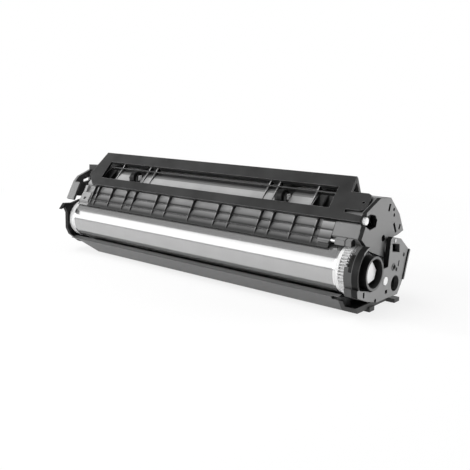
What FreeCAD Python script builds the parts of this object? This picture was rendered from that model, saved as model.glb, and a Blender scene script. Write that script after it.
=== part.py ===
# Toner cartridge of a laser printer, in millimetres.
#
# The lower unit holds the toner, the developer roller and the bare photoconductor drum along
# the front. The upper unit carries the ribbed front panel, the charge roller and the cleaning
# blade, and a dark window frame with two guide wheels stands on it. The two units are pinned
# and screwed together. X runs along the drum towards the drive end, -Y is the front where the
# drum lies bare, and +Z is up. Sections are drawn as (Y, Z) about the drum's axis, with X = 0
# at the middle of the ribbed panel, and every piece is then set so that the origin is the
# centre of the drive collar's outer face.
import FreeCAD, Part
import os
import re
import Sketcher

# Sizes, each with what it is.
SIZES = [
    ("drum_r", 15, "radius of the drum"),
    ("tube_wall", 1, "wall of the drum tube"),
    ("tube_left", 124, "panel middle to the tube's idle end"),
    ("tube_right", 128.8, "panel middle to the tube's drive end"),
    ("spigot_length", 8, "length of each flange inside the tube"),
    ("idle_flange_length", 5.3, "white ring at the idle end"),
    ("shoulder", 2.5, "smooth ring between the tube and the gear"),
    ("gear_width", 5, "face width of the gears"),
    ("drum_teeth", 48, "teeth on the drum gear"),
    ("pinion_teeth", 24, "teeth on the developer and agitator gears"),
    ("tip_rise", 0.85, "tooth tips beyond the pitch circle"),
    ("root_drop", 1.25, "tooth roots inside the pitch circle"),
    ("axle_r", 3, "radius of the idle axle pin"),
    ("running_fit", 0.08, "radial clearance of a turning fit"),
    ("seat_fit", 0.02, "radial clearance of a pressed or seated fit"),
    ("gear_side_gap", 0.5, "gap beside the gears"),
    ("web_gap", 3.2, "drum gear to the web behind the collar"),
    ("web_wall", 2, "thickness of that web"),
    ("cap_relief", 1.5, "web to the inside of the drive cap's plate"),
    ("cap_wall", 3, "thickness of the drive cap's plate"),
    ("collar_stand", 1.5, "collar beyond the drive cap's face"),
    ("collar_bore_r", 8.9, "bore of the collar"),
    ("collar_wall", 1.5, "wall of the collar"),
    ("collar_inset", 2.6, "how far the collar reaches in behind its web"),
    ("collar_groove", 0.8, "clear ring round the collar"),
    ("dog_r", 8, "corner radius of the twisted drive dog"),
    ("dog_recess", 3.7, "dog face behind the collar face"),
    ("dog_height", 3.9, "height of the dog"),
    ("dog_flat", 22, "half width of the dog's blunt corners, degrees"),
    ("dog_twist", 8, "twist of the dog over its height, degrees"),
    ("dog_angle", 100, "corner of the dog's face, degrees"),
    ("shroud_gap", 1, "drum to the shroud's inside"),
    ("shroud_wall", 1.3, "wall of the shroud"),
    ("frame_room", 1.8, "drum to the trough of the toner frame"),
    ("bin_room", 1, "drum to the underside of the upper unit"),
    ("wall", 2, "general wall of the mouldings"),
    ("end_wall", 4, "end walls of the toner frame"),
    ("runner_depth", 2, "height of the runners"),
    ("sleeve_r", 7, "radius of the developer roller"),
    ("sleeve_wall", 0.8, "wall of the developer sleeve"),
    ("developer_gap", 0.3, "drum to developer roller"),
    ("developer_angle", -22, "direction from the drum to the developer roller"),
    ("sleeve_room", 1.2, "developer roller to its trough"),
    ("sleeve_inset", 4, "roller end to the end wall"),
    ("journal_r", 3, "journals of the developer roller and the charge roller"),
    ("bush_half", 4.4, "half width of the square bearing bushes"),
    ("magnet_gap", 0.5, "magnet to the inside of its sleeve"),
    ("magnet_shaft_r", 1.8, "shaft of the magnet"),
    ("agitator_angle", 40, "direction from the developer roller to the agitator"),
    ("agitator_r", 2.4, "agitator shaft"),
    ("paddle_r", 4.4, "reach of the agitator film"),
    ("paddle_room", 0.5, "agitator film to the chamber"),
    ("film", 0.4, "thickness of the agitator film"),
    ("blade_wall", 1, "thickness of the doctor blade"),
    ("blade_gap", 0.3, "doctor blade to developer roller, and cleaning lip to drum"),
    ("bracket_wall", 1.2, "thickness of the steel brackets"),
    ("bracket_leg", 4.2, "legs of the doctor blade bracket"),
    ("blade_inset", 3, "blades and brackets to the end walls"),
    ("charge_r", 5, "radius of the charge roller"),
    ("charge_gap", 0.3, "drum to charge roller"),
    ("charge_angle", 72, "direction from the drum to the charge roller"),
    ("charge_room", 1.2, "charge roller to its pocket"),
    ("block_width", 3, "length of the charge roller bearings"),
    ("block_half", 4.2, "half width of the charge roller bearings"),
    ("panel_slope", 61, "slope of the panel, degrees"),
    ("panel_length", 18.9, "panel from its top to its lip"),
    ("panel_rib", 1, "thickness of the panel's ribs"),
    ("bin_overhang", 1, "bin beyond the tube's idle end"),
    ("bin_setback", 8.8, "seam of the drive side cover short of the tube's drive end"),
    ("panel_margin", 8, "ribbed panel to that seam"),
    ("charge_margin_left", 12, "charge roller to the bin's idle end"),
    ("charge_margin_right", 7, "charge roller to the bin's drive end"),
    ("cover_wall", 2.5, "end plates of the side covers"),
    ("strap_reach", 14.5, "idle side cover's face beyond the bin"),
    ("strap_width", 9.1, "width of the strap"),
    ("frame_slope", 46.9, "slope of the window frame, degrees"),
    ("frame_wall", 2, "thickness of the window frame"),
    ("frame_height", 32.5, "window frame from its foot to its top edge"),
    ("bar_height", 7.4, "bar below the window"),
    ("window_height", 16.1, "height of the window"),
    ("window_margin_left", 14.1, "window to the bin's idle end"),
    ("window_margin_right", 9.1, "window to the bin's drive end"),
    ("frame_setback", 3, "window frame's top corner to the bin's idle end"),
    ("frame_overhang", 0.1, "window frame's top corner beyond the bin's drive end"),
    ("frame_bulge", 5.3, "how much further the left side reaches at the bar"),
    ("foot_setback", 8.2, "left end of the foot to the bin's idle end"),
    ("bar_overhang", 17, "bar beyond the bin's drive end"),
    ("tab_overhang", 16.3, "tab beyond the bin's drive end"),
    ("tab_low", 8, "foot to the tab's lower edge"),
    ("tab_high", 20.9, "foot to the tab's upper edge"),
    ("slit", 2.2, "slit between the bar and the tab"),
    ("tab_hole_r", 0.9, "hole in the tab"),
    ("frame_rib", 1, "thickness of the ribs under the window"),
    ("wheel_x", 72.4, "panel middle to each guide wheel"),
    ("wheel_r", 4.5, "radius of the guide wheels"),
    ("wheel_width", 4, "width of the guide wheels"),
    ("wheel_axle_r", 1, "axles of the guide wheels"),
    ("wheel_room", 0.8, "guide wheel to its pocket"),
    ("wheel_post", 2, "thickness of the posts beside the guide wheels"),
    ("strip_blade", 0.7, "thickness of the cleaning blade"),
    ("seal_width", 4, "width of the felt seals at the drum's ends"),
    ("stub_r", 1.4, "radius of the short steel shaft"),
    ("unit_pin_r", 1.2, "radius of the pins that join the two units"),
    ("socket_pin_r", 2.4, "radius of the white pin in the upper socket"),
    ("plug_r", 5, "radius of the filling plug"),
    ("screw_r", 1.5, "shank of the screws"),
    ("screw_head_r", 2.8, "head of the screws"),
    ("screw_head", 1.6, "height of the screw heads"),
    ("screw_length", 7, "length of the screw shanks"),
    ("white_pin_r", 2.7, "white locating pin in the drive cap"),
]

# Corners of the long section, as (Y, Z) from the drum's axis.
CORNERS = {
    "strip": (-14, -15),
    "sole_front": (-8.2, -24),
    "sole_rear": (26.5, -24),
    "heel": (30.5, -21),
    "back_low": (37.3, -12),
    "back_mid": (42.8, 3.5),
    "back_top": (43.6, 6.2),
    "roof_rear": (35.5, 12.8),
    "roof_front": (30.5, 14.2),
    "land": (26, 3.2),
    "panel_top": (-0.2, 29.5),
    "ledge": (18, 42.5),
    "ledge_rear": (25.2, 42.5),
    "crown": (27.6, 42),
    "shoulder_rear": (39, 29.6),
    "tail": (44.7, 18.7),
    "keel": (30, 16.6),
}

doc = FreeCAD.newDocument("TonerCartridge")
sheet = doc.addObject("Spreadsheet::Sheet", "Sizes")


def cell(row, name, value, note):
    """One size in the sheet: its note, its value and its alias."""
    sheet.set("A%d" % row, note)
    sheet.set("B%d" % row, str(value))
    sheet.setAlias("B%d" % row, name)


def fill_sheet():
    """Write every size and every corner of the section into the sheet."""
    row = 1
    for name, value, note in SIZES:
        cell(row, name, value, note)
        row += 1
    for name, (across, up) in CORNERS.items():
        cell(row, name + "_y", across, name.replace("_", " ") + ", across")
        cell(row + 1, name + "_z", up, name.replace("_", " ") + ", up")
        row += 2
    doc.recompute()


fill_sheet()
ALIASES = {name for name, value, note in SIZES}
ALIASES |= {name + "_y" for name in CORNERS}
ALIASES |= {name + "_z" for name in CORNERS}


def linked(text):
    """The expression with each size's name pointing into the sheet."""
    def point(match):
        word = match.group()
        return "Sizes." + word if word in ALIASES else word
    return re.sub(r"[a-z][a-z_]*", point, str(text))


def value(text):
    """The number that an expression gives now."""
    return float(sheet.evalExpression(linked(text)))


def bind(thing, prop, text):
    thing.setExpression(prop, linked(text))


# Stations along the drum, as expressions.
GEAR_IN = "(tube_right + shoulder)"
GEAR_OUT = "(tube_right + shoulder + gear_width)"
WEB_IN = "(tube_right + shoulder + gear_width + web_gap)"
WEB_OUT = "(tube_right + shoulder + gear_width + web_gap + web_wall)"
PLATE_IN = "(tube_right + shoulder + gear_width + web_gap + web_wall + cap_relief)"
CAP_FACE = "(tube_right + shoulder + gear_width + web_gap + web_wall + cap_relief + cap_wall)"
COLLAR_FACE = (
    "(tube_right + shoulder + gear_width + web_gap + web_wall"
    " + cap_relief + cap_wall + collar_stand)"
)
FRAME_RIGHT = "(tube_right + shoulder - gear_side_gap)"
FRAME_LEFT = "(-tube_left - idle_flange_length - gear_side_gap / 2)"
WALL_RIGHT = "(tube_right + shoulder - gear_side_gap - end_wall)"
WALL_LEFT = "(-tube_left - idle_flange_length - gear_side_gap / 2 + end_wall)"
IDLE_FACE = "(-tube_left - idle_flange_length - gear_side_gap / 2 - cap_wall - 0.5)"
BIN_LEFT = "(-tube_left - bin_overhang)"
BIN_RIGHT = "(tube_right - bin_setback)"
PANEL_RIGHT = "(tube_right - bin_setback - panel_margin)"
CHARGE_LEFT = "(-tube_left - bin_overhang + charge_margin_left)"
CHARGE_RIGHT = "(tube_right - bin_setback - charge_margin_right)"
WINDOW_LEFT = "(-tube_left - bin_overhang + window_margin_left)"
WINDOW_RIGHT = "(tube_right - bin_setback - window_margin_right)"
STRAP_FACE = "(-tube_left - bin_overhang - strap_reach)"
COVER_IN = "(tube_right - bin_setback + 0.2)"
COVER_FACE = WEB_OUT

# Axes of the rollers, as (Y, Z) expressions.
DEVELOPER = (
    "((drum_r + sleeve_r + developer_gap) * cos(developer_angle))",
    "((drum_r + sleeve_r + developer_gap) * sin(developer_angle))",
)
PITCH = "(2 * (drum_r + sleeve_r + developer_gap) / (drum_teeth + pinion_teeth))"
AGITATOR = (
    "(%s + %s * pinion_teeth * cos(agitator_angle))" % (DEVELOPER[0], PITCH),
    "(%s + %s * pinion_teeth * sin(agitator_angle))" % (DEVELOPER[1], PITCH),
)
CHARGE = (
    "((drum_r + charge_r + charge_gap) * cos(charge_angle))",
    "((drum_r + charge_r + charge_gap) * sin(charge_angle))",
)
AXIS = ("0", "0")


def named(corner):
    """A corner of the section by name, or a pair of expressions as it is."""
    if isinstance(corner, str):
        return corner + "_y", corner + "_z"
    return corner


def on_panel(down, depth):
    """A point of the section, down the panel from its top and behind its plane."""
    across = "panel_top_y - (%s) * cos(panel_slope) + (%s) * sin(panel_slope)" % (down, depth)
    up = "panel_top_z - (%s) * sin(panel_slope) - (%s) * cos(panel_slope)" % (down, depth)
    return across, up


def under_frame(along, gap):
    """A point of the section below the window frame's underside, up the slope from its foot."""
    across = ("panel_top_y + (%s) * cos(frame_slope) + (frame_wall + %s) * sin(frame_slope)"
              % (along, gap))
    up = ("panel_top_z + (%s) * sin(frame_slope) - (frame_wall + %s) * cos(frame_slope)"
          % (along, gap))
    return across, up


def around(centre, radius, angle):
    """A point at a radius and an angle from a centre."""
    return (
        "%s + (%s) * cos(%s)" % (centre[0], radius, angle),
        "%s + (%s) * sin(%s)" % (centre[1], radius, angle),
    )


nodes = []


def new_body(name):
    """An empty piece in the cartridge's frame."""
    body = doc.addObject("PartDesign::Body", name)
    body.Label = name
    body.AllowCompound = True
    bind(body, "Placement.Base.x", "-" + COLLAR_FACE)
    nodes.append(body)
    return body


def attach(body, thing, role, x):
    """Put a sketch or a primitive on one of the body's own planes, at a station x."""
    plane = [entry for entry in body.Origin.OriginFeatures if entry.Role == role][0]
    thing.AttachmentSupport = [(plane, "")]
    thing.MapMode = "FlatFace"
    bind(thing, "AttachmentOffset.Base.z", x)


def outline(body, x, corners, role="YZ_Plane"):
    """A closed outline of straight edges whose corners follow the sheet."""
    sketch = body.newObject("Sketcher::SketchObject", body.Label + "_outline")
    attach(body, sketch, role, x)
    pairs = [named(corner) for corner in corners]
    spots = [FreeCAD.Vector(value(across), value(up), 0) for across, up in pairs]
    count = len(spots)
    for i in range(count):
        sketch.addGeometry(Part.LineSegment(spots[i], spots[(i + 1) % count]), False)
    for i in range(count):
        sketch.addConstraint(Sketcher.Constraint("Coincident", i, 2, (i + 1) % count, 1))
    for i in range(count):
        for kind, text, now in (
            ("DistanceX", pairs[i][0], spots[i].x),
            ("DistanceY", pairs[i][1], spots[i].y),
        ):
            index = sketch.addConstraint(Sketcher.Constraint(kind, -1, 1, i, 1, now))
            bind(sketch, "Constraints[%d]" % index, text)
    return sketch


def pad(body, x_from, x_to, corners, role="YZ_Plane"):
    """Material between two stations inside an outline."""
    sketch = outline(body, x_from, corners, role)
    feature = body.newObject("PartDesign::Pad", body.Label + "_pad")
    feature.Profile = sketch
    bind(feature, "Length", "(%s) - (%s)" % (x_to, x_from))
    sketch.Visibility = False
    return feature


def pocket(body, x_from, x_to, corners, role="YZ_Plane"):
    """An opening between two stations inside an outline, cut towards the lower one."""
    sketch = outline(body, x_to, corners, role)
    feature = body.newObject("PartDesign::Pocket", body.Label + "_pocket")
    feature.Profile = sketch
    bind(feature, "Length", "(%s) - (%s)" % (x_to, x_from))
    sketch.Visibility = False
    return feature


def cylinder(body, kind, x_from, x_to, centre, radius, role):
    """A cylinder square to one of the body's planes: kind is Additive or Subtractive."""
    feature = body.newObject("PartDesign::%sCylinder" % kind, body.Label + "_round")
    attach(body, feature, role, x_from)
    bind(feature, "AttachmentOffset.Base.x", centre[0])
    bind(feature, "AttachmentOffset.Base.y", centre[1])
    bind(feature, "Radius", radius)
    bind(feature, "Height", "(%s) - (%s)" % (x_to, x_from))
    return feature


def add_round(body, x_from, x_to, centre, radius, role="YZ_Plane"):
    return cylinder(body, "Additive", x_from, x_to, centre, radius, role)


def cut_round(body, x_from, x_to, centre, radius, role="YZ_Plane"):
    return cylinder(body, "Subtractive", x_from, x_to, centre, radius, role)


def add_ring(body, x_from, x_to, r_in, r_out, start, sweep):
    """A part of a ring about the drum's axis, from a start angle over a sweep."""
    sketch = outline(body, "0", [(x_from, r_in), (x_to, r_in), (x_to, r_out), (x_from, r_out)],
                     "XY_Plane")
    sketch.AttachmentOffset = FreeCAD.Placement(
        FreeCAD.Vector(0, 0, 0), FreeCAD.Rotation(FreeCAD.Vector(1, 0, 0), 1))
    bind(sketch, "AttachmentOffset.Rotation.Angle", start)
    feature = body.newObject("PartDesign::Revolution", body.Label + "_ring")
    feature.Profile = sketch
    feature.ReferenceAxis = (sketch, ["H_Axis"])
    bind(feature, "Angle", sweep)
    sketch.Visibility = False
    return feature


def rectangle(y_from, y_to, z_from, z_to):
    return [(y_from, z_from), (y_to, z_from), (y_to, z_to), (y_from, z_to)]


def square(centre, half):
    across, up = centre
    return rectangle("%s - (%s)" % (across, half), "%s + (%s)" % (across, half),
                     "%s - (%s)" % (up, half), "%s + (%s)" % (up, half))


def eight_sided(centre, radius):
    """An eight-sided outline round a circle: radius is to its flats."""
    return [around(centre, "(%s) / cos(22.5)" % radius, "%g" % (22.5 + 45 * side)) for side in range(8)]


def cut_teeth(body, teeth, phase):
    """Cut the spaces between a gear's teeth round the X axis; phase is the middle of one space."""
    corners = []
    for radius, sides, share in (
        ("%s * %s / 2 - root_drop" % (PITCH, teeth), "-+", "0.18"),
        ("%s * %s / 2 + tip_rise + 0.1" % (PITCH, teeth), "+-", "0.38"),
    ):
        for side in sides:
            corners.append(around(AXIS, radius, "%s %s %s * 360 / %s" % (phase, side, share, teeth)))
    space = pocket(body, GEAR_IN, GEAR_OUT, corners)
    doc.recompute()
    pattern = body.newObject("PartDesign::PolarPattern", body.Label + "_teeth")
    pattern.Originals = [space]
    axis = [entry for entry in body.Origin.OriginFeatures if entry.Role == "X_Axis"][0]
    pattern.Axis = (axis, [""])
    pattern.Angle = 360
    bind(pattern, "Occurrences", teeth)
    body.Tip = pattern


# The drum tube: a coated aluminium tube, bare along the whole front of the cartridge.
tube = new_body("drum_tube")
add_round(tube, "-tube_left", "tube_right", AXIS, "drum_r")
cut_round(tube, "-tube_left - 1", "tube_right + 1", AXIS, "drum_r - tube_wall")

# The drive flange: a spigot in the tube, a smooth shoulder, the drum gear, a journal that
# turns in the collar and the three-sided dog, twisted over its height.
flange = new_body("drum_drive_flange")
add_round(flange, "tube_right - spigot_length", "tube_right", AXIS,
          "drum_r - tube_wall - seat_fit")
add_round(flange, "tube_right", GEAR_IN, AXIS, "drum_r")
add_round(flange, GEAR_IN, GEAR_OUT, AXIS, PITCH + " * drum_teeth / 2 + tip_rise")
DOG_FOOT = COLLAR_FACE + " - dog_recess - dog_height"
add_round(flange, GEAR_OUT, DOG_FOOT, AXIS, "collar_bore_r - running_fit")


def dog_section(share):
    """One level of the dog: a triangle with narrow flats for corners."""
    corners = []
    for side in range(3):
        for edge in ("- dog_flat", "+ dog_flat"):
            angle = "dog_angle + %d %s - dog_twist * (1 - %s)" % (side * 120, edge, share)
            corners.append(around(AXIS, "dog_r", angle))
    return outline(flange, "%s + dog_height * %s" % (DOG_FOOT, share), corners)


dog_levels = [dog_section(share) for share in ("0", "1")]
dog = flange.newObject("PartDesign::AdditiveLoft", "dog")
dog.Profile = dog_levels[0]
dog.Sections = dog_levels[1:]
dog.Ruled = True
cut_teeth(flange, "drum_teeth", "developer_angle")

# The idle flange: a white ring with a spigot, bored for the axle pin.
idle_flange = new_body("drum_idle_flange")
IDLE_END = "(-tube_left - idle_flange_length)"
add_round(idle_flange, IDLE_END, "-tube_left", AXIS, "drum_r")
add_round(idle_flange, "-tube_left", "-tube_left + spigot_length", AXIS,
          "drum_r - tube_wall - seat_fit")
cut_round(idle_flange, IDLE_END + " - 1", "-tube_left + spigot_length + 1", AXIS,
          "axle_r + running_fit")

# The steel axle pin that the idle flange turns on, with a flat head outside the idle cap.
axle = new_body("drum_axle_pin")
add_round(axle, IDLE_FACE + " - 1", "-tube_left + spigot_length - 2", AXIS, "axle_r")
add_round(axle, IDLE_FACE + " - 1.2", IDLE_FACE, AXIS, "axle_r + 1.8")

# The developer roller: a thin sleeve with closed ends and two journals, and its gear.
sleeve = new_body("developer_sleeve")
SLEEVE_LEFT = WALL_LEFT + " + sleeve_inset"
SLEEVE_RIGHT = WALL_RIGHT + " - sleeve_inset"
add_round(sleeve, SLEEVE_LEFT, SLEEVE_RIGHT, DEVELOPER, "sleeve_r")
add_round(sleeve, FRAME_LEFT, SLEEVE_LEFT, DEVELOPER, "journal_r")
add_round(sleeve, SLEEVE_RIGHT, GEAR_OUT, DEVELOPER, "journal_r")
cut_round(sleeve, SLEEVE_LEFT + " + wall", SLEEVE_RIGHT + " - wall", DEVELOPER,
          "sleeve_r - sleeve_wall")
cut_round(sleeve, FRAME_LEFT + " - 1", SLEEVE_LEFT + " + wall + 1", DEVELOPER,
          "magnet_shaft_r + running_fit")

# The magnet inside the sleeve stays still, held by its shaft at the idle end.
magnet = new_body("developer_magnet")
add_round(magnet, SLEEVE_LEFT + " + wall + gear_side_gap", SLEEVE_RIGHT + " - wall - gear_side_gap",
          DEVELOPER, "sleeve_r - sleeve_wall - magnet_gap")
add_round(magnet, FRAME_LEFT + " - cap_wall / 2", SLEEVE_LEFT + " + wall + gear_side_gap", DEVELOPER,
          "magnet_shaft_r")


def pinion(name, centre, bore, phase):
    """A gear of the train, bored for its journal."""
    body = new_body(name)
    add_round(body, GEAR_IN, GEAR_OUT, AXIS, PITCH + " * pinion_teeth / 2 + tip_rise")
    cut_round(body, GEAR_IN + " - 1", GEAR_OUT + " + 1", AXIS, bore)
    cut_teeth(body, "pinion_teeth", phase)
    bind(body, "Placement.Base.y", centre[0])
    bind(body, "Placement.Base.z", centre[1])


pinion("developer_gear", DEVELOPER, "journal_r + seat_fit", "developer_angle + 180 + 180 / pinion_teeth")
pinion("agitator_gear", AGITATOR, "agitator_r + seat_fit", "2 * agitator_angle - developer_angle")

# The agitator: a shaft through the toner chamber with a bar that holds a thin film.
agitator = new_body("agitator_shaft")
add_round(agitator, WALL_LEFT + " - end_wall / 2", GEAR_OUT, AGITATOR, "agitator_r")
film = new_body("agitator_film")
pad(film, WALL_LEFT + " + blade_inset", WALL_RIGHT + " - blade_inset", rectangle(
    AGITATOR[0] + " + agitator_r", AGITATOR[0] + " + paddle_r",
    AGITATOR[1] + " - film / 2", AGITATOR[1] + " + film / 2"))


def bush(name, x_from, x_to, centre):
    """A square bearing bush seated in an end wall."""
    body = new_body(name)
    pad(body, x_from, x_to, square(centre, "bush_half"))
    cut_round(body, x_from + " - 1", x_to + " + 1", centre, "journal_r + running_fit")
    return body


bush("developer_bearing_drive", WALL_RIGHT, FRAME_RIGHT, DEVELOPER)
bush("developer_bearing_idle", FRAME_LEFT, WALL_LEFT, DEVELOPER)

# The toner frame: one long moulding with the front strip below the drum, the troughs of the
# drum and the developer roller, the toner chamber behind them and the runners underneath.
frame = new_body("toner_frame")
frame_corners = ["strip", "sole_front", "sole_rear", "heel", "back_low", "back_mid", "back_top",
                 "roof_rear", "roof_front", "land", (DEVELOPER[0] + " - 4.2", "land_z"), AXIS,
                 ("strip_y + 5", "strip_z + 1.5"), ("strip_y + 1.7", "strip_z")]
pad(frame, FRAME_LEFT, FRAME_RIGHT, frame_corners)
pad(frame, FRAME_RIGHT + " - 1", GEAR_OUT + " - 2.2",
    ["strip", "sole_front", ("sole_front_y + 6", "sole_front_z"),
     ("strip_y + 8", "strip_z"), ("strip_y + 1.7", "strip_z")])
pad(frame, FRAME_RIGHT + " - 1", WEB_OUT,
    [("sole_front_y - 2.3", "sole_front_z + 3.6"), "sole_front", "sole_rear",
     ("sole_rear_y + 0.5", "sole_rear_z + 3.6")])
pad(frame, FRAME_LEFT, WEB_OUT + " + 1",
    rectangle("4.4", "10.2", "sole_front_z - runner_depth", "sole_front_z + 1"))
for foot_left, foot_right in (
    (FRAME_LEFT, FRAME_LEFT + " + 15"),
    (FRAME_RIGHT + " - 15", FRAME_RIGHT),
):
    pad(frame, foot_left, foot_right,
        [("heel_y + 0.5", "sole_front_z - runner_depth"), ("back_low_y", "sole_front_z - runner_depth"),
         "back_low", ("heel_y - 1", "heel_z + 2")])
pad(frame, FRAME_RIGHT + " - 1", COLLAR_FACE + " - 2.5",
    rectangle("heel_y + 0.5", "back_low_y", "sole_front_z - runner_depth", "sole_front_z + 0.6"))
pocket(frame, "-4", "20",
       [(FRAME_LEFT + " - 1", "strip_z - 0.5"), (FRAME_LEFT + " + 8", "strip_z - 0.5"),
        (FRAME_LEFT + " + 29", "sole_front_z - 0.5"), (FRAME_LEFT + " - 1", "sole_front_z - 0.5")], "XZ_Plane")
pocket(frame, FRAME_RIGHT + " - 4.3", GEAR_OUT,
       rectangle("strip_y - 1", "strip_y + 4", "strip_z - 1.6", "strip_z + 0.1"))
cut_round(frame, FRAME_LEFT + " - 1", CAP_FACE, AXIS, "drum_r + frame_room")
cut_round(frame, WALL_LEFT, WALL_RIGHT, DEVELOPER, "sleeve_r + sleeve_room")
LAND_FRONT = DEVELOPER[0] + " + blade_wall - 0.1"
pocket(frame, WALL_LEFT, WALL_RIGHT,
       [("0", "land_z + 3"), AXIS, DEVELOPER, (LAND_FRONT, DEVELOPER[1]), (LAND_FRONT, "land_z + 3")])
chamber = [("sole_rear_y - 1", "sole_rear_z + 8"), ("heel_y - 1.3", "heel_z + wall"),
           ("back_low_y - 2.1", "back_low_z + 0.5"), ("back_low_y + 4", "back_low_z - 0.2"),
           ("back_top_y + 2", "back_top_z - 3"), ("roof_rear_y + 6", "roof_rear_z - 0.6"),
           ("roof_rear_y + 2.1", "roof_rear_z - 4.4"),
           ("roof_rear_y - 1", "roof_rear_z - wall"),
           ("roof_front_y + 1.5", "roof_front_z - 2.5"), ("land_y + 2", "land_z + 1"),
           ("land_y + 2", "land_z - wall"), (DEVELOPER[0] + " + 3.8", "land_z - wall"),
           (DEVELOPER[0] + " + 3.8", "land_z - 6")]
pocket(frame, WALL_LEFT, WALL_RIGHT, chamber)
cut_round(frame, WALL_LEFT, WALL_RIGHT, AGITATOR, "paddle_r + paddle_room")
for wall_from, wall_to in ((FRAME_LEFT + " - 1", WALL_LEFT + " + 1"),
                           (WALL_RIGHT + " - 1", FRAME_RIGHT + " + 1")):
    pocket(frame, wall_from, wall_to, square(DEVELOPER, "bush_half + seat_fit"))
    cut_round(frame, wall_from if wall_from.startswith("(tube") else "(%s) + 3" % wall_from,
              wall_to, AGITATOR, "agitator_r + running_fit")

PLUG = ("heel_y + 2.5", "back_low_z + 3")
SCREWS = (("sole_rear_y + 1.5", "heel_z + 3"), ("back_low_y + 1.2", "back_low_z + 10"))
pocket(frame, FRAME_LEFT + " - 1", WALL_LEFT + " + 1", eight_sided(PLUG, "plug_r + seat_fit"))
for screw in SCREWS:
    pocket(frame, FRAME_LEFT + " - 1", WALL_LEFT + " + 1", eight_sided(screw, "screw_r + seat_fit"))

# The plug in the filling hole, behind the idle end cap.
plug = new_body("fill_plug")
pad(plug, FRAME_LEFT + " + 0.3", WALL_LEFT, eight_sided(PLUG, "plug_r"))

# The rear cover that closes the toner chamber.
rear_cover = new_body("toner_frame_cover")
pad(rear_cover, WALL_LEFT + " + 0.05", WALL_RIGHT + " - 0.05",
    [("back_low_y + 0.05", "back_low_z + 0.35"), "back_mid", "back_top",
     ("roof_rear_y + 4", "roof_rear_z - 3.26"), ("roof_rear_y + 2.9", "roof_rear_z - 4.5"),
     ("back_top_y - wall", "back_top_z - 0.6"),
     ("back_mid_y - wall", "back_mid_z + 0.6"), ("back_low_y - 1.9", "back_low_z + 1")])

# The doctor blade and its bracket, screwed to the land above the developer roller.
BLADE_TOP = "land_z + bracket_wall + bracket_leg - 1"
BLADE_X = (WALL_LEFT + " + blade_inset", WALL_RIGHT + " - blade_inset")
bracket = new_body("doctor_blade_bracket")
pad(bracket, BLADE_X[0], BLADE_X[1],
    [(LAND_FRONT, "land_z"), (LAND_FRONT + " + bracket_leg", "land_z"),
     (LAND_FRONT + " + bracket_leg", "land_z + bracket_wall"),
     (LAND_FRONT + " + bracket_wall", "land_z + bracket_wall"),
     (LAND_FRONT + " + bracket_wall", BLADE_TOP), (LAND_FRONT, BLADE_TOP)])
blade = new_body("doctor_blade")
pad(blade, BLADE_X[0], BLADE_X[1],
    rectangle(LAND_FRONT + " - blade_wall", LAND_FRONT,
              DEVELOPER[1] + " + sleeve_r + blade_gap", BLADE_TOP))

# The drive end cap: plate, skirt, the collar on its web and the shroud over the drum gear.
COLLAR_ROOM = "collar_bore_r + collar_wall + collar_groove"
cap = new_body("drive_end_cap")
cap_front = [(-17.2, -6.9), (-16.3, -11.9), (-5.2, -16.4)]
cap_under = [(6.8, -19.6), (20.4, -19.7), (32.1, -20.1)]
cap_back = [(38.5, -11.7), (44.2, 4.2), (45.3, 6.3)]
pad(cap, PLATE_IN, CAP_FACE,
    cap_front + cap_under + cap_back + [(33.6, 15.5), (23, 18.2), (20.7, 16.7), (18.5, 0.2),
                                        (0, 0), (-5, -10)])
cut_round(cap, PLATE_IN + " - 1", COLLAR_FACE, AXIS, COLLAR_ROOM)
pad(cap, FRAME_RIGHT + " + 0.1", PLATE_IN,
    [(-5.2, -16.4)] + cap_under + cap_back + [(37, 12.9), (36, 11.6), (42.8, 6), (36.7, -11),
                                              (31, -18.2), (6.9, -17.7), (-4.7, -14.6)])
pad(cap, GEAR_OUT + " + 0.7", PLATE_IN,
    cap_front + [(-4.7, -14.6), (-14.7, -10.8), (-15.4, -7.2)])
cut_round(cap, FRAME_RIGHT, PLATE_IN, AXIS, "drum_r + shroud_gap")
SHROUD = ("drum_r + shroud_gap", "drum_r + shroud_gap + shroud_wall")
add_ring(cap, WEB_IN, PLATE_IN + " + 0.1", COLLAR_ROOM, SHROUD[1], "228", "130")
add_ring(cap, GEAR_OUT + " + 0.2", CAP_FACE, SHROUD[0], SHROUD[1], "160", "75")
add_ring(cap, WEB_IN + " + 0.5", CAP_FACE, SHROUD[0], SHROUD[1], "105", "56")
add_ring(cap, WEB_IN, WEB_OUT, "collar_bore_r + 0.3", SHROUD[1], "105", "225")
add_round(cap, WEB_IN, WEB_OUT, AXIS, COLLAR_ROOM)
add_round(cap, WEB_IN + " - collar_inset", WEB_IN, AXIS, "collar_bore_r + collar_wall - 0.2")
add_round(cap, WEB_OUT, COLLAR_FACE, AXIS, "collar_bore_r + collar_wall")
cut_round(cap, WEB_IN + " - collar_inset - 1", COLLAR_FACE + " + 1", AXIS, "collar_bore_r")
for hole in (
    [(22.8, 14.1), (32.0, 12.2), (32.5, 7.0), (23.3, 9.0)],
    [(31.9, 1.7), (33.1, 1.5), (32.1, -1.9), (30.9, -1.7)],
    [(16.1, -14.2), (18.8, -14.2), (18.8, -16.4), (16.1, -16.4)],
    [(-10.3, -9.7), (-8.6, -9.7), (-8.6, -13.1), (-10.3, -13.1)],
):
    pocket(cap, PLATE_IN + " - 0.5", CAP_FACE + " + 1", hole)
cut_round(cap, PLATE_IN + " - 0.5", CAP_FACE + " + 1", ("28.2", "-12.2"), "5")
UNIT_PIN_DRIVE = ("26", "15.5")
UNIT_PIN_IDLE = ("23", "14.2")
pocket(cap, PLATE_IN + " - 0.5", CAP_FACE + " + 1", eight_sided(UNIT_PIN_DRIVE, "unit_pin_r + seat_fit"))
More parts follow.
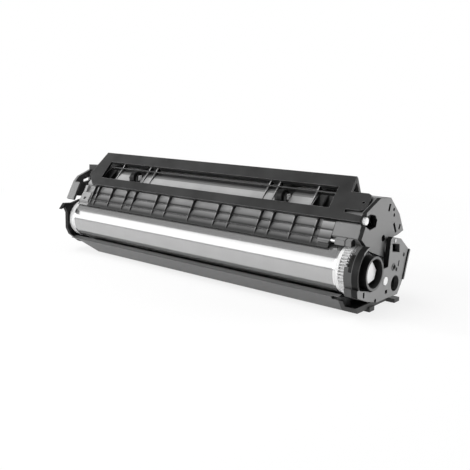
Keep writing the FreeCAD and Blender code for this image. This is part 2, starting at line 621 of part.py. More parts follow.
for dimple in (("29.5", "-3.4"), ("38.4", "4.4"), ("4.3", "-18")):
    pocket(cap, CAP_FACE + " - 0.6", CAP_FACE + " + 1", eight_sided(dimple, "unit_pin_r"))
pad(cap, CAP_FACE + " - 1", CAP_FACE + " + 0.5", eight_sided(("25.6", "-1.2"), "unit_pin_r + 1"))
pocket(cap, CAP_FACE + " - 0.6", CAP_FACE + " + 1", eight_sided(("25.6", "-1.2"), "unit_pin_r + 0.4"))
pocket(cap, WEB_IN + " - 0.5", CAP_FACE + " + 1", eight_sided(("15.6", "-8"), "white_pin_r + seat_fit"))
pad(cap, CAP_FACE, CAP_FACE + " + 1",
    [(38.5, -11.7), (44.2, 4.2), (45.3, 6.3), (44.2, 7.2), (42.8, 4.6), (37.3, -11.4)])

# The white locating pin in the drive cap.
white_pin = new_body("cap_locating_pin")
add_round(white_pin, PLATE_IN + " - 2", CAP_FACE + " + 0.4", ("15.6", "-8"), "white_pin_r")

# The idle end cap: a dark plate with a hooked ear beside the drum.
idle_cap = new_body("idle_end_cap")
pad(idle_cap, IDLE_FACE, FRAME_LEFT,
    [(-17, -6.9), (-14.5, -12.5), (-5.4, -20), (6.8, -22), (26.5, -22), (32.1, -20.1), (38.5, -11.7),
     (44.2, 4.2), (43.6, 7), (35.5, 12.8), (30.5, 14.2), (26.5, 17), (20, 17), (17, 10), (10, 14),
     (-2, 15.5), (-11, 13.5), (-18.6, 14.2), (-22.5, 9.7), (-18.6, 10.9), (-16.5, 6)])
cut_round(idle_cap, IDLE_FACE + " - 1", FRAME_LEFT + " + 1", AXIS, "axle_r + seat_fit")
pocket(idle_cap, FRAME_LEFT + " - cap_wall / 2 - 0.1", FRAME_LEFT + " + 1",
       eight_sided(DEVELOPER, "magnet_shaft_r + seat_fit"))

pocket(idle_cap, IDLE_FACE + " - 1", FRAME_LEFT + " + 1", eight_sided(UNIT_PIN_IDLE, "unit_pin_r + seat_fit"))
for screw in SCREWS:
    pocket(idle_cap, IDLE_FACE + " - 1", FRAME_LEFT + " + 1", eight_sided(screw, "screw_r + seat_fit"))

# Two steel screws hold the idle end cap.
screws = new_body("end_cap_screws")
for screw in SCREWS:
    pad(screws, IDLE_FACE, IDLE_FACE + " + screw_length", eight_sided(screw, "screw_r"))
    pad(screws, IDLE_FACE + " - screw_head", IDLE_FACE, eight_sided(screw, "screw_head_r"))
    pocket(screws, IDLE_FACE + " - screw_head - 1", IDLE_FACE + " - screw_head + 0.7",
           rectangle("%s - 2" % screw[0], "%s + 2" % screw[0], "%s - 0.35" % screw[1], "%s + 0.35" % screw[1]))

# The waste bin of the upper unit, with the ribbed panel as its front: three lapping rows
# like shingles, crossed by thin upright ribs whose front edges lie in one plane.
shingles = [on_panel("0", "3"), on_panel("3.2", "2.4"), on_panel("6.9", "1.8"), on_panel("6.9", "2.8"),
            on_panel("9.5", "1.6"), on_panel("13.3", "0.3"), on_panel("13.3", "1.4"),
            on_panel("panel_length", "0")]
underside = [("0", "drum_r - 4"), (13.5, 9), (17.5, 11.5), (24, 14.5), "keel", ("keel_y + 8", "keel_z + 0.5")]
bin_rear = [("tail_y - 2.2", "tail_z - 1.4"), ("tail_y - 1.9", "tail_z - 0.3"),
            ("shoulder_rear_y - 1.6", "shoulder_rear_z - 1.2"), ("crown_y - 1.4", "crown_z - 1.6"),
            "ledge_rear", "ledge", (17.2, 41), (12.6, 38.4), (9.2, 35.7), under_frame("8", "0.6"),
            under_frame("5", "0.15"), under_frame("0", "0.15")]
waste_bin = new_body("waste_bin")
pad(waste_bin, BIN_LEFT, PANEL_RIGHT, shingles + underside + bin_rear)
pad(waste_bin, PANEL_RIGHT, BIN_RIGHT,
    [on_panel("1.8", "0"), on_panel("panel_length", "0")] + underside + bin_rear)
cut_round(waste_bin, BIN_LEFT + " - 1", BIN_RIGHT + " + 1", AXIS, "drum_r + bin_room")
cut_round(waste_bin, CHARGE_LEFT + " - 2", CHARGE_RIGHT + " + 2", CHARGE, "charge_r + charge_room")
BLOCK_LEFT = (CHARGE_LEFT + " - 2 - block_width", CHARGE_LEFT + " - 2")
BLOCK_RIGHT = (CHARGE_RIGHT + " + 2", CHARGE_RIGHT + " + 2 + block_width")
for block_from, block_to in (BLOCK_LEFT, BLOCK_RIGHT):
    pocket(waste_bin, block_from + " - 0.3", block_to + " + 0.3",
           rectangle(CHARGE[0] + " - block_half - 0.1", CHARGE[0] + " + block_half + 0.1",
                     CHARGE[1] + " - 8", CHARGE[1] + " + block_half + 4"))
pocket(waste_bin, BIN_LEFT + " + wall", BIN_RIGHT + " - wall",
       [(14, 30), (17, 38), (25, 39), (36, 27.5), (40, 20), (30, 19), (20, 16)])
BLADE_SPAN = (CHARGE_LEFT + " + 0.5", CHARGE_RIGHT + " - 0.5")
pocket(waste_bin, CHARGE_LEFT, CHARGE_RIGHT,
       [on_panel("9.2", "2.4"), on_panel("14", "2.4"), on_panel("14", "3.4"), on_panel("18", "3.4"),
        on_panel("18", "5"), on_panel("10.8", "4.4"), on_panel("10.8", "3.5"), on_panel("9.2", "3.5")])
WHEEL = (9, 37.6)
for side in (-1, 1):
    wheel_from = "%d * wheel_x - wheel_width / 2 - wheel_room" % side
    wheel_to = "%d * wheel_x + wheel_width / 2 + wheel_room" % side
    pocket(waste_bin, wheel_from, wheel_to, eight_sided(WHEEL, "wheel_r + wheel_room"))
    for post_from, post_to in (
        (wheel_from + " - wheel_post", wheel_from),
        (wheel_to, wheel_to + " + wheel_post"),
    ):
        pad(waste_bin, post_from, post_to,
            [(6.9, 33.2), (6, 35), (6.1, 38), (8.2, 40.2), (11.2, 39.6), (13.2, 38)])
    pocket(waste_bin, wheel_from + " - wheel_post - 0.1", wheel_to + " + wheel_post + 0.1",
           square(WHEEL, "wheel_axle_r + seat_fit"))
end_pocket = [(4.9, 33.6), (7.5, 31.5), (11.5, 31.2), (14.6, 37.6), (16.6, 41.5), (12, 42)]
for x_from, x_to in (
    (WINDOW_LEFT + " - 1", WINDOW_LEFT + " + 6.9"),
    (WINDOW_LEFT + " + 7.9", WINDOW_LEFT + " + 13.9"),
    (WINDOW_RIGHT + " - 13.9", WINDOW_RIGHT + " - 7.9"),
    (WINDOW_RIGHT + " - 6.9", WINDOW_RIGHT + " + 1"),
):
    pocket(waste_bin, x_from, x_to, end_pocket)
for rib_x in (-95.4, -64, -56, 56, 64, 95.4):
    pad(waste_bin, "%g - frame_rib / 2" % rib_x, "%g + frame_rib / 2" % rib_x,
        [under_frame("7.6", "0.15"), under_frame("24", "0.15"), (20.5, 42.3), (17.2, 40), (12, 37), (9, 34)])
pad(waste_bin, BIN_LEFT + " + 1.5", BIN_LEFT + " + 4.5",
    [on_panel("1.8", "0"), on_panel("7.4", "0"), on_panel("7.4", "3.2"), on_panel("1.8", "3.2")])
pad(waste_bin, BIN_LEFT + " + 1", BIN_LEFT + " + 11.8",
    [on_panel("7.4", "0.3"), on_panel("15.2", "-1"), on_panel("16.6", "0.2"), on_panel("16.2", "1.4"),
     on_panel("7.4", "3")])
pocket(waste_bin, BIN_LEFT + " + 5.4", BIN_LEFT + " + 7.8",
       [on_panel("11.8", "-2"), on_panel("14", "-2"), on_panel("14", "1.6"), on_panel("11.8", "1.6")])
pad(waste_bin, BIN_RIGHT + " - 8", BIN_RIGHT,
    [on_panel("14.4", "0.5"), on_panel("14.9", "-1"), on_panel("16", "-1"), on_panel("16", "0.5")])
rib_corners = [on_panel("1.8", "0"), on_panel("panel_length - 3", "0"),
               on_panel("panel_length - 1", "0.4"), on_panel("13.3", "1.8"), on_panel("9.2", "2.3"),
               on_panel("7", "3.1"), on_panel("1", "3.6"), under_frame("1", "0.5"), under_frame("0", "0.15")]
for rib_x in (0, 24.6, 37.4, 62.1, 72.2, 89.4, 106.5, 111.5):
    for side in ((1, -1) if rib_x else (1,)):
        pad(waste_bin, "%g - panel_rib / 2" % (side * rib_x), "%g + panel_rib / 2" % (side * rib_x),
            rib_corners)

# The rear lid of the bin, which also stands up behind the window frame.
lid = new_body("waste_bin_lid")
pad(lid, BIN_LEFT, BIN_RIGHT,
    [under_frame("frame_height - 2.6", "0.1"), under_frame("frame_height", "0.1"), "crown",
     "shoulder_rear", "tail",
     ("tail_y - 1.8", "tail_z - 0.3"), ("shoulder_rear_y - 1.5", "shoulder_rear_z - 1.1"),
     ("crown_y - 1.3", "crown_z - 1.5"), ("ledge_rear_y + 0.1", "ledge_rear_z + 0.1")])

# The cleaning blade: a rubber strip behind the panel's lip, and the steel strip that holds it.
blade_bracket = new_body("cleaning_blade_bracket")
pad(blade_bracket, BLADE_SPAN[0], BLADE_SPAN[1],
    [on_panel("9.4", "2.5"), on_panel("13.8", "2.5"), on_panel("13.8", "3.4"), on_panel("9.4", "3.4")])
cleaning = new_body("cleaning_blade")
pad(cleaning, BLADE_SPAN[0], BLADE_SPAN[1],
    [on_panel("11", "3.5"), on_panel("15", "3.5"), on_panel("14.3", "3.5 + strip_blade"),
     on_panel("11", "3.5 + strip_blade")])

# The guide wheels that stand up through the window, and their axles.
axles = new_body("guide_wheel_axles")
for side, name in ((-1, "guide_wheel_left"), (1, "guide_wheel_right")):
    centre = "%d * wheel_x" % side
    wheel = new_body(name)
    add_round(wheel, centre + " - wheel_width / 2", centre + " + wheel_width / 2", WHEEL, "wheel_r")
    cut_round(wheel, centre + " - wheel_width", centre + " + wheel_width", WHEEL, "wheel_axle_r + running_fit")
    add_round(axles, centre + " - wheel_width / 2 - wheel_room - wheel_post",
              centre + " + wheel_width / 2 + wheel_room + wheel_post", WHEEL, "wheel_axle_r")

# The window frame: a flat dark plate at a slope, with the long window, the tab at its right
# end and the slit below the tab. It is drawn in its own plane and then tilted.
BAR_RIGHT = "(tube_right - bin_setback + bar_overhang)"
TAB_RIGHT = "(tube_right - bin_setback + tab_overhang)"
window = new_body("window_frame")
pad(window, "-frame_wall", "0",
    [(BIN_LEFT + " + foot_setback", "0"), (BAR_RIGHT + " + 1", "0"),
     (BAR_RIGHT + " - 1.4", "tab_low - slit - 1.2"), (TAB_RIGHT + " - 13.6", "tab_low - slit"),
     (TAB_RIGHT + " - 13.6", "tab_low"), (TAB_RIGHT + " - 4", "tab_low"),
     (TAB_RIGHT + " - 1.2", "tab_low + 1.2"), (TAB_RIGHT, "tab_low + 4"), (TAB_RIGHT, "tab_high - 3"),
     (TAB_RIGHT + " - 0.9", "tab_high - 0.9"), (TAB_RIGHT + " - 3", "tab_high"),
     (BIN_RIGHT + " + frame_overhang + 0.9", "tab_high"),
     (BIN_RIGHT + " + frame_overhang", "frame_height"), (BIN_LEFT + " + frame_setback", "frame_height"),
     (BIN_LEFT + " + frame_setback - frame_bulge", "bar_height + 1.7")], "XY_Plane")
pocket(window, "-frame_wall - 1", "1",
       rectangle(WINDOW_LEFT, WINDOW_RIGHT, "bar_height", "bar_height + window_height"),
       "XY_Plane")
cut_round(window, "-frame_wall - 1", "1", (TAB_RIGHT + " - 3.7", "tab_low + 6"), "tab_hole_r", "XY_Plane")
window.Placement = FreeCAD.Placement(FreeCAD.Vector(0, 0, 0), FreeCAD.Rotation(FreeCAD.Vector(1, 0, 0), 1))
bind(window, "Placement.Base.x", "-" + COLLAR_FACE)
bind(window, "Placement.Base.y", "panel_top_y")
bind(window, "Placement.Base.z", "panel_top_z")
bind(window, "Placement.Rotation.Angle", "frame_slope")

# The drive side cover of the upper unit.
side_cover = new_body("drive_side_cover")
cover_face = [(14.5, 42.7), (26.9, 41.5), (39, 29.6), (44.9, 18.4), (38.4, 16.8), (30, 16),
              (21.6, 4.7), (2.9, 12), (-3.9, 18.3), (-6.6, 20.6), (-3.3, 26.2), (-1.2, 29.4), (-1.9, 35.8)]
cover_body = [under_frame("20", "0.15"), (26.9, 41.5), (39, 29.6), (44.9, 18.4), (38.4, 16.8),
              ("keel_y", "keel_z"), (24, 14.5), (17.5, 11.5), (13.5, 9), (2.9, 12), (-3.9, 18.3),
              on_panel("10.4", "0"), on_panel("1.8", "0"),
              under_frame("0", "0.15")]
pad(side_cover, COVER_IN, COVER_FACE + " - cover_wall", cover_body)
pad(side_cover, COVER_FACE + " - cover_wall - 0.5", COVER_FACE, cover_face)
pocket(side_cover, COVER_IN + " - 1", COVER_FACE + " - cover_wall",
       [(14.6, 40.2), (25.9, 39.2), (37, 28.6), (41.7, 19.9), (29, 18.6), (23, 16.6), (14, 17.5),
        (2.9, 19.3), (-2.6, 20.6), (1.8, 26.8)])
SOCKET_PIN = (-0.2, 30.6)
pocket(side_cover, COVER_FACE + " - cover_wall", COVER_FACE + " + 1",
       [(-4.5, 29), (-4.2, 33.2), (2.8, 34.4), (8.5, 33), (10.8, 29.8), (9.4, 25.8), (2.4, 25)])
pad(side_cover, BAR_RIGHT + " + 1.3", COVER_FACE + " - cover_wall",
    eight_sided(SOCKET_PIN, "socket_pin_r + 1"))
pocket(side_cover, BAR_RIGHT + " + 1.6", COVER_FACE, eight_sided(SOCKET_PIN, "socket_pin_r + seat_fit"))
for slot in (
    [(25.4, 37.9), (27.4, 37.4), (25.8, 33.2), (23.8, 33.7)],
    [(30.9, 24.4), (32.7, 25.2), (35.8, 19.1), (34, 18.3)],
    [(39.5, 23.3), (41.1, 22.6), (39.5, 19.6), (37.9, 20.3)],
):
    pocket(side_cover, COVER_FACE + " - cover_wall - 1", COVER_FACE + " + 1", slot)
pocket(side_cover, COVER_FACE + " - cover_wall - 1", COVER_FACE + " + 1", eight_sided((19.2, 17.4), "2"))
for dimple in ((31.2, 33.6), (31.8, 30)):
    pocket(side_cover, COVER_FACE + " - 0.6", COVER_FACE + " + 1", eight_sided(dimple, "1"))
pocket(side_cover, COVER_FACE + " - cover_wall - 1", COVER_FACE + " + 1",
       eight_sided(UNIT_PIN_DRIVE, "unit_pin_r + seat_fit"))
STUB = (-5.8, 17.3)
STUB_FROM = "(tube_right - bin_setback + 0.6)"
for block_from, block_to in (("4", "11"), ("11.5", "15.5")):
    pad(side_cover, BIN_RIGHT + " + " + block_from, BIN_RIGHT + " + " + block_to,
        [(-8, 15.6), (-4, 15.6), (-3, 19.5), (-5, 20), (-8, 19)])
pocket(side_cover, BIN_RIGHT + " + 3", BIN_RIGHT + " + 11", square(STUB, "stub_r + seat_fit"))
cut_round(side_cover, COVER_IN + " - 1", GEAR_OUT + " + 0.7", AXIS, "drum_r + bin_room + 0.2")
cut_round(side_cover, GEAR_OUT, COVER_FACE + " + 1", AXIS, COLLAR_ROOM + " + 1")

# The short steel shaft below the cover, the white pin in its socket and the unit pins.
stub = new_body("stub_shaft")
add_round(stub, STUB_FROM, BIN_RIGHT + " + 11", STUB, "stub_r")
socket_pin = new_body("socket_pin")
add_round(socket_pin, BAR_RIGHT + " + 1.6", COVER_FACE + " - 0.8", SOCKET_PIN, "socket_pin_r")
unit_pins = new_body("unit_pins")
pad(unit_pins, COVER_FACE + " - cover_wall", CAP_FACE + " + 0.4", eight_sided(UNIT_PIN_DRIVE, "unit_pin_r"))
pad(unit_pins, STRAP_FACE + " - 0.4", FRAME_LEFT, eight_sided(UNIT_PIN_IDLE, "unit_pin_r"))

# The idle side cover with its curved strap.
strap = new_body("idle_side_cover")
pad(strap, STRAP_FACE, BIN_LEFT + " - 0.2",
    [under_frame("20", "0.15"), (26.9, 41.5), (39, 29.6), (44.3, 18.6), (38.4, 17.3), (26, 18.6), (14, 21.5)])
pocket(strap, STRAP_FACE + " + cover_wall", BIN_LEFT,
       [(16.6, 39.8), (25.9, 39.2), (37, 28.6), (41.4, 20.2), (26.4, 20.7), (16.4, 23.2)])
pad(strap, STRAP_FACE, STRAP_FACE + " + cover_wall",
    [(14.5, 21), (2.9, 17), (-3.9, 18.3), (-8.1, 15.4), (-9.8, 16.4), (-2.3, 29.9), (2, 34), (8, 36.2),
     (14.5, 38.5)])
pocket(strap, STRAP_FACE + " - 1", STRAP_FACE + " + cover_wall + 1",
       [(6.2, 28.3), (6.5, 30.6), (13.4, 32.6), (13.2, 29.4)])
pad(strap, STRAP_FACE, STRAP_FACE + " + strap_width",
    [(-0.6, 28.9), (-8.1, 15.4), (-9.8, 16.4), (-2.3, 29.9)])
pad(strap, STRAP_FACE, STRAP_FACE + " + cover_wall",
    [(14.2, 21.6), (19.5, 11.4), (26.5, 11.4), (28.5, 18.8)])
pocket(strap, STRAP_FACE + " - 1", STRAP_FACE + " + cover_wall + 1",
       eight_sided(UNIT_PIN_IDLE, "unit_pin_r + seat_fit"))

# The felt seals that close the gap at the drum's two ends, behind the panel's lip.
for name, seal_from in (
    ("drum_seal_idle", BIN_LEFT + " + wall"),
    ("drum_seal_drive", BIN_RIGHT + " - wall - seal_width"),
):
    seal = new_body(name)
    add_ring(seal, seal_from, "(%s) + seal_width" % seal_from, "drum_r + 0.3", "drum_r + bin_room - 0.1",
             "92", "28")

# The charge roller: a rubber sleeve on a steel core, in two sliding bearings.
core = new_body("charge_roller_core")
add_round(core, BLOCK_LEFT[0], BLOCK_RIGHT[1], CHARGE, "journal_r")
roller = new_body("charge_roller_sleeve")
add_round(roller, CHARGE_LEFT, CHARGE_RIGHT, CHARGE, "charge_r")
cut_round(roller, CHARGE_LEFT + " - 1", CHARGE_RIGHT + " + 1", CHARGE, "journal_r + seat_fit")

for name, (block_from, block_to) in (
    ("charge_bearing_idle", BLOCK_LEFT),
    ("charge_bearing_drive", BLOCK_RIGHT),
):
    block = new_body(name)
    pad(block, block_from, block_to,
        rectangle(CHARGE[0] + " - block_half", CHARGE[0] + " + block_half",
                  CHARGE[1] + " - block_half + 0.2", CHARGE[1] + " + block_half"))
    cut_round(block, block_from + " - 1", block_to + " + 1", CHARGE, "journal_r + running_fit")

doc.recompute()

faults = [item.Name for item in doc.Objects if "Invalid" in item.State or "Error" in item.State]
for body in nodes:
    if body.Shape.isNull() or not body.Shape.isValid():
        faults.append(body.Label)
if faults:
    raise RuntimeError("not sound: " + ", ".join(faults))

os.makedirs("parts", exist_ok=True)
for body in nodes:
    box = body.Shape.BoundBox
    print("%-24s %2d solids %9.0f mm3  X %.1f..%.1f  Y %.1f..%.1f  Z %.1f..%.1f" % (
        body.Label, len(body.Shape.Solids), body.Shape.Volume,
        box.XMin, box.XMax, box.YMin, box.YMax, box.ZMin, box.ZMax))
    body.Shape.exportStep("parts/" + body.Label + ".step")
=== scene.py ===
import math

import bpy
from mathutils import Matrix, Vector


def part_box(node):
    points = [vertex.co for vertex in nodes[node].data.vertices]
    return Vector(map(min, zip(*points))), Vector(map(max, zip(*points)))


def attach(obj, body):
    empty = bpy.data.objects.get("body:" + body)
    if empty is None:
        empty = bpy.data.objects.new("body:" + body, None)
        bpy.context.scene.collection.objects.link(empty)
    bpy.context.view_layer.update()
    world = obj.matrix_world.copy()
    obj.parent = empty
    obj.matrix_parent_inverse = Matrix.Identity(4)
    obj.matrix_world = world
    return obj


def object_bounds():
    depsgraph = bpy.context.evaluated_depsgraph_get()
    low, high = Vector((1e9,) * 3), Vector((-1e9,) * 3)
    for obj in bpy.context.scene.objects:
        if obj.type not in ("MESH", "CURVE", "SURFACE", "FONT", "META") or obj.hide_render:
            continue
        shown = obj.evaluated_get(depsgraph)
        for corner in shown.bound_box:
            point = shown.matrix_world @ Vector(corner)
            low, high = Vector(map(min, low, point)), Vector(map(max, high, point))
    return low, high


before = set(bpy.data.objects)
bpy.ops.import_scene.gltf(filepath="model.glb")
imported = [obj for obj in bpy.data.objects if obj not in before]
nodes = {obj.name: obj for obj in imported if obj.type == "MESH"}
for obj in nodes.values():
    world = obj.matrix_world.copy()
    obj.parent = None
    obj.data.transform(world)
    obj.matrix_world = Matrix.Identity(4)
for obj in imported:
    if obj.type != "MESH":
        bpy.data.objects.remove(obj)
cad_low, cad_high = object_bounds()
bpy.ops.object.select_all(action="DESELECT")

# The viewpoint: a normal lens close to the cartridge, to the front right of its drive end and a
# little above it, looking towards the idle end.
azimuth = math.radians(40.8)
elevation = math.radians(12.15)
line_of_sight = Vector((
    -math.sin(azimuth) * math.cos(elevation),
    math.cos(azimuth) * math.cos(elevation),
    -math.sin(elevation),
))
camera_data = bpy.data.cameras.new("camera")
camera_data.lens = 52.7
camera_data.sensor_width = 36
camera_data.clip_start = 0.02
camera_data.clip_end = 20
camera = bpy.data.objects.new("camera", camera_data)
camera.location = (0.1932, -0.3499, 0.1076)
camera.rotation_euler = line_of_sight.to_track_quat("-Z", "Y").to_euler()
bpy.context.scene.collection.objects.link(camera)
bpy.context.scene.camera = camera
bpy.context.scene.view_settings.view_transform = "Standard"


# The studio surround: white where it is seen, directly or in a gloss, and darker overhead,
# where a studio's ceiling is. It lights the cartridge only weakly.
wall_top = 0.35
ceiling_edge = 0.6


def feed(tree, socket, value):
    """Link a socket to another one, or set it to a plain value."""
    if isinstance(value, bpy.types.NodeSocket):
        tree.links.new(value, socket)
    else:
        socket.default_value = value


def calculate(tree, operation, *values):
    """The result of one arithmetic step on sockets and numbers."""
    step = tree.nodes.new("ShaderNodeMath")
    step.operation = operation
    for socket, value in zip(step.inputs, values):
        feed(tree, socket, value)
    return step.outputs[0]


def ramp(tree, value, start, end, at_start=0, at_end=1):
    """What runs from at_start to at_end as a value goes from start to end, and stays level beyond."""
    step = tree.nodes.new("ShaderNodeMapRange")
    feed(tree, step.inputs["Value"], value)
    step.inputs["From Min"].default_value = start
    step.inputs["From Max"].default_value = end
    step.inputs["To Min"].default_value = at_start
    step.inputs["To Max"].default_value = at_end
    return step.outputs["Result"]


world = bpy.data.worlds.new("studio")
bpy.context.scene.world = world
world.use_nodes = True
sky = world.node_tree
sky.nodes.clear()
sky_out = sky.nodes.new("ShaderNodeOutputWorld")
direction = sky.nodes.new("ShaderNodeTexCoord")
height = sky.nodes.new("ShaderNodeSeparateXYZ")
sky.links.new(direction.outputs["Generated"], height.inputs[0])
ceiling = ramp(sky, height.outputs["Z"], wall_top, ceiling_edge, at_start=1, at_end=0.3)
seen = sky.nodes.new("ShaderNodeBackground")
seen.inputs["Color"].default_value = (1, 1, 1, 1)
sky.links.new(ceiling, seen.inputs["Strength"])
lit = sky.nodes.new("ShaderNodeBackground")
lit.inputs["Color"].default_value = (1, 1, 1, 1)
lit.inputs["Strength"].default_value = 0.22
rays = sky.nodes.new("ShaderNodeLightPath")
direct = calculate(sky, "MAXIMUM", rays.outputs["Is Camera Ray"], rays.outputs["Is Glossy Ray"])
through = calculate(sky, "MAXIMUM", direct, rays.outputs["Is Transmission Ray"])
choose = sky.nodes.new("ShaderNodeMixShader")
sky.links.new(through, choose.inputs[0])
sky.links.new(lit.outputs[0], choose.inputs[1])
sky.links.new(seen.outputs[0], choose.inputs[2])
sky.links.new(choose.outputs[0], sky_out.inputs[0])


# The lamps: a large soft box at the front left whose long reflection runs along the drum, a small
# one beside it that rakes over the ribs, a soft light from above, and one at the back right that
# lights the end plates.
def soft_box(name, place, target, width, height, power, in_gloss):
    """A rectangular lamp that faces its target, and may or may not show in a gloss."""
    data = bpy.data.lights.new(name, "AREA")
    data.shape = "RECTANGLE"
    data.size = width
    data.size_y = height
    data.energy = power
    lamp = bpy.data.objects.new(name, data)
    bpy.context.scene.collection.objects.link(lamp)
    lamp.location = place
    lamp.rotation_euler = (Vector(target) - Vector(place)).to_track_quat("-Z", "Y").to_euler()
    lamp.visible_glossy = in_gloss


soft_box("front_left_box", (-1.1, -0.8, 0.5), (-1.1, 0, 0.5), width=1.8, height=0.92, power=9,
         in_gloss=True)
soft_box("idle_side_key", (-1.4, -0.5, 0.45), (-0.14, 0.01, 0.03), width=0.2, height=0.2, power=9,
         in_gloss=False)
soft_box("overhead_box", (-0.45, -0.25, 1.2), (-0.14, 0.01, 0.01), width=1.2, height=0.7, power=10,
         in_gloss=False)
soft_box("drive_side_box", (1.0, 0.75, 0.45), (-0.05, 0.01, 0.01), width=0.7, height=0.7, power=12,
         in_gloss=True)

# The tabletop: plain white card that runs out into white, with the cartridge's soft shadow.
white_from = 0.22
all_white = 0.5
bpy.ops.mesh.primitive_plane_add(size=8, location=(0, 0, cad_low.z - 0.0002))
table = bpy.context.object
table.name = "tabletop"
card = bpy.data.materials.new("white_card")
card.use_nodes = True
tree = card.node_tree
paper = tree.nodes["Principled BSDF"]
paper.inputs["Base Color"].default_value = (0.93, 0.93, 0.93, 1)
paper.inputs["Roughness"].default_value = 0.6
paper.inputs["Specular IOR Level"].default_value = 0.1
place = tree.nodes.new("ShaderNodeTexCoord")
reach = tree.nodes.new("ShaderNodeVectorMath")
reach.operation = "DISTANCE"
reach.inputs[1].default_value = (-0.14, 0, cad_low.z)
tree.links.new(place.outputs["Object"], reach.inputs[0])
far = ramp(tree, reach.outputs["Value"], white_from, all_white, at_start=0.78)
glow = tree.nodes.new("ShaderNodeEmission")
glow.inputs["Strength"].default_value = 1
rays = tree.nodes.new("ShaderNodeLightPath")
direct = calculate(tree, "MAXIMUM", rays.outputs["Is Camera Ray"], rays.outputs["Is Glossy Ray"])
fade = tree.nodes.new("ShaderNodeMixShader")
tree.links.new(calculate(tree, "MULTIPLY", direct, far), fade.inputs[0])
tree.links.new(paper.outputs[0], fade.inputs[1])
tree.links.new(glow.outputs[0], fade.inputs[2])
tree.links.new(fade.outputs[0], tree.nodes["Material Output"].inputs[0])
table.data.materials.append(card)

# A dark card stands on the table below the large soft box and draws the thin line under the
# drum's highlight.
bpy.ops.mesh.primitive_plane_add(size=1, location=(-1.1, -0.79, 0.006), rotation=(math.radians(90), 0, 0))
flag = bpy.context.object
flag.name = "dark_card"
flag.visible_camera = False
bpy.ops.transform.resize(value=(1.8, 1, 0.06))
flag_black = bpy.data.materials.new("card_black")
flag_black.use_nodes = True
velvet = flag_black.node_tree.nodes["Principled BSDF"]
velvet.inputs["Base Color"].default_value = (0.02, 0.02, 0.02, 1)
velvet.inputs["Roughness"].default_value = 0.9
flag.data.materials.append(flag_black)


# Moulded plastic, as on most pieces here, has the fine spark-eroded grain of its mould, broad
# faint changes of tone and sheen, and slightly rounded edges. An edge is where the rounded surface
# turns away from the flat one, and a side is a face that looks towards the drive end. A lighter
# edge tone is a painted highlight and a darker one is painted shade; a darker side tone is painted
# shade on faces the lamps leave in the dark.
edge_starts = 0.995
edge_full = 0.86
side_starts = 0.6
side_full = 0.8


def noise(tree, place, scale, detail=2):
    """A noise of a given fineness over a place."""
    step = tree.nodes.new("ShaderNodeTexNoise")
    step.inputs["Detail"].default_value = detail
    feed(tree, step.inputs["Scale"], scale)
    tree.links.new(place, step.inputs["Vector"])
    return step.outputs[0]


moulding = bpy.data.node_groups.new("moulded_surface", "ShaderNodeTree")
for name in ("Grain Scale", "Grain Depth", "Edge Radius"):
    moulding.interface.new_socket(name, in_out="INPUT", socket_type="NodeSocketFloat")
for name in ("Tone", "Edge", "Side"):
    moulding.interface.new_socket(name, in_out="OUTPUT", socket_type="NodeSocketFloat")
moulding.interface.new_socket("Normal", in_out="OUTPUT", socket_type="NodeSocketVector")
into = moulding.nodes.new("NodeGroupInput")
out_of = moulding.nodes.new("NodeGroupOutput")
place = moulding.nodes.new("ShaderNodeTexCoord")
rounded = moulding.nodes.new("ShaderNodeBevel")
rounded.samples = 4
flat = moulding.nodes.new("ShaderNodeNewGeometry")
turn = moulding.nodes.new("ShaderNodeVectorMath")
turn.operation = "DOT_PRODUCT"
facing = moulding.nodes.new("ShaderNodeSeparateXYZ")
bump = moulding.nodes.new("ShaderNodeBump")
bump.inputs["Distance"].default_value = 0.0001
fine = noise(moulding, place.outputs["Object"], into.outputs["Grain Scale"], detail=3)
broad = noise(moulding, place.outputs["Object"], 45, detail=4)
moulding.links.new(into.outputs["Edge Radius"], rounded.inputs["Radius"])
moulding.links.new(rounded.outputs[0], turn.inputs[0])
moulding.links.new(flat.outputs["Normal"], turn.inputs[1])
moulding.links.new(place.outputs["Normal"], facing.inputs[0])
moulding.links.new(into.outputs["Grain Depth"], bump.inputs["Strength"])
moulding.links.new(fine, bump.inputs["Height"])
moulding.links.new(rounded.outputs[0], bump.inputs["Normal"])
moulding.links.new(broad, out_of.inputs["Tone"])
moulding.links.new(ramp(moulding, turn.outputs["Value"], edge_starts, edge_full), out_of.inputs["Edge"])
moulding.links.new(ramp(moulding, facing.outputs["X"], side_starts, side_full), out_of.inputs["Side"])
moulding.links.new(bump.outputs[0], out_of.inputs["Normal"])


def grey(tone):
    """An even grey."""
    return (tone, tone, tone, 1)


def mix(tree, factor, first, second):
    """A colour between two others."""
    step = tree.nodes.new("ShaderNodeMix")
    step.data_type = "RGBA"
    feed(tree, step.inputs["Factor"], factor)
    feed(tree, step.inputs["A"], first)
    feed(tree, step.inputs["B"], second)
    return step.outputs["Result"]


def moulded(name, dark, light, edge, side, rough, specular=0.5, depth=0.25):
    """A moulded plastic of two near tones, with painted tones at edges and on sides: lighter ones are
    painted highlight, darker ones painted shade.
    """
    sheen_spread = 0.06
    material = bpy.data.materials.new(name)
    material.use_nodes = True
    tree = material.node_tree
    plastic = tree.nodes["Principled BSDF"]
    plastic.inputs["Specular IOR Level"].default_value = specular
    surface = tree.nodes.new("ShaderNodeGroup")
    surface.name = "surface"
    surface.node_tree = moulding
    surface.inputs["Grain Scale"].default_value = 2600
    surface.inputs["Grain Depth"].default_value = depth
    surface.inputs["Edge Radius"].default_value = 0.00035
    tone = surface.outputs["Tone"]
    clouded = mix(tree, tone, grey(dark), grey(light))
    turned = mix(tree, surface.outputs["Side"], clouded, grey(side))
    edged = mix(tree, surface.outputs["Edge"], turned, grey(edge))
    sheen = ramp(tree, tone, 0, 1, at_start=rough - sheen_spread, at_end=rough + sheen_spread)
    tree.links.new(edged, plastic.inputs["Base Color"])
    tree.links.new(sheen, plastic.inputs["Roughness"])
    tree.links.new(surface.outputs["Normal"], plastic.inputs["Normal"])
    return material


